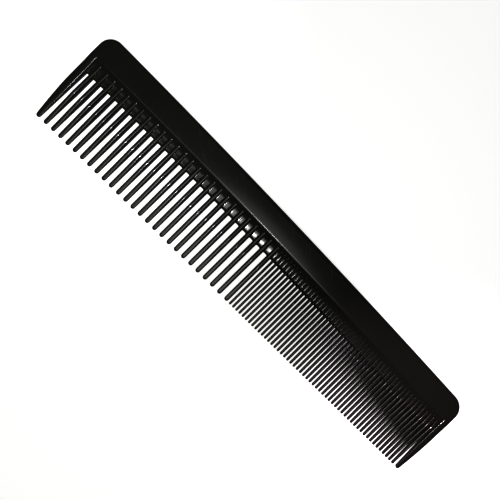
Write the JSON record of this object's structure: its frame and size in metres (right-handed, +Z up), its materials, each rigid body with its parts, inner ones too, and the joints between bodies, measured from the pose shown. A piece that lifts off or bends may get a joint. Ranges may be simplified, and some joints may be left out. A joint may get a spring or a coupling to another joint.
{
  "type": "hair comb",
  "caption": "Straight salon styling comb: wide teeth along the first half, fine teeth along the rest, a thick arched spine with a sloped step, and a tapered guard at each end.",
  "frame": {"origin": "bottom centre of the comb's bounding box as it lies flat on its lower face", "axes": "+X along the comb from the wide teeth to the fine teeth, +Y from the tooth tips to the back of the spine, +Z up through the comb's thickness"},
  "size_m": [0.178, 0.0384, 0.0042],
  "materials": {
    "black_plastic": "satin to semi-gloss moulded black plastic with faint handling scuffs"
  },
  "bodies": {
    "root": {"spine": "black_plastic", "wide_end_guard": "black_plastic", "fine_end_guard": "black_plastic", "wide_tooth_01": "black_plastic", "wide_tooth_02": "black_plastic", "wide_tooth_03": "black_plastic", "wide_tooth_04": "black_plastic", "wide_tooth_05": "black_plastic", "wide_tooth_06": "black_plastic", "wide_tooth_07": "black_plastic", "wide_tooth_08": "black_plastic", "wide_tooth_09": "black_plastic", "wide_tooth_10": "black_plastic", "wide_tooth_11": "black_plastic", "wide_tooth_12": "black_plastic", "wide_tooth_13": "black_plastic", "wide_tooth_14": "black_plastic", "wide_tooth_15": "black_plastic", "wide_tooth_16": "black_plastic", "wide_tooth_17": "black_plastic", "wide_tooth_18": "black_plastic", "wide_tooth_19": "black_plastic", "wide_tooth_20": "black_plastic", "wide_tooth_21": "black_plastic", "wide_tooth_22": "black_plastic", "wide_tooth_23": "black_plastic", "wide_tooth_24": "black_plastic", "wide_tooth_25": "black_plastic", "wide_tooth_26": "black_plastic", "fine_tooth_pair_01": "black_plastic", "fine_tooth_pair_02": "black_plastic", "fine_tooth_pair_03": "black_plastic", "fine_tooth_pair_04": "black_plastic", "fine_tooth_pair_05": "black_plastic", "fine_tooth_pair_06": "black_plastic", "fine_tooth_pair_07": "black_plastic", "fine_tooth_pair_08": "black_plastic", "fine_tooth_pair_09": "black_plastic", "fine_tooth_pair_10": "black_plastic", "fine_tooth_pair_11": "black_plastic", "fine_tooth_pair_12": "black_plastic", "fine_tooth_pair_13": "black_plastic", "fine_tooth_pair_14": "black_plastic", "fine_tooth_pair_15": "black_plastic", "fine_tooth_pair_16": "black_plastic", "fine_tooth_pair_17": "black_plastic", "fine_tooth_pair_18": "black_plastic", "fine_tooth_pair_19": "black_plastic", "fine_tooth_pair_20": "black_plastic", "fine_tooth_pair_21": "black_plastic", "fine_tooth_pair_22": "black_plastic", "fine_tooth_pair_23": "black_plastic", "fine_tooth_pair_24": "black_plastic", "fine_tooth_pair_25": "black_plastic", "fine_tooth_pair_26": "black_plastic"}
  },
  "joints": []
}
